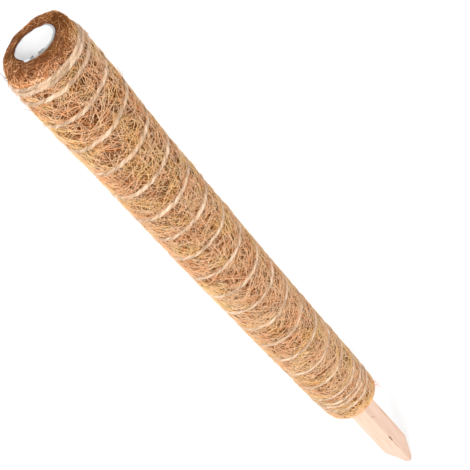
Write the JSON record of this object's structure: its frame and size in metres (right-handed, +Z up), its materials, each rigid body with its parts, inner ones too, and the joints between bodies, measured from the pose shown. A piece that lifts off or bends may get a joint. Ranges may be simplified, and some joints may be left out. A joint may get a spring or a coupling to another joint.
{
  "type": "coir moss pole",
  "caption": "Plant support pole: a coconut-fibre mat bound with twine round a hollow plastic tube, on a pointed square wooden stake that pushes into the soil.",
  "frame": {"origin": "centre of the sleeve's lower end, where the soil comes up to", "axes": "+Z up along the pole, away from the stake's point; X and Y square to the stake's faces"},
  "size_m": [0.038, 0.038, 0.4],
  "materials": {
    "coir": "coarse natural fibre",
    "twine": "fuzzy natural twine",
    "stake_wood": "bare sawn softwood",
    "tube_plastic": "satin white",
    "nail_steel": "bright"
  },
  "bodies": {
    "root": {"wooden_stake": "stake_wood", "core_tube": "tube_plastic", "coir_mat": "coir", "winding_twine": "twine", "stake_nail_lower": "nail_steel", "stake_nail_upper": "nail_steel"}
  },
  "joints": []
}
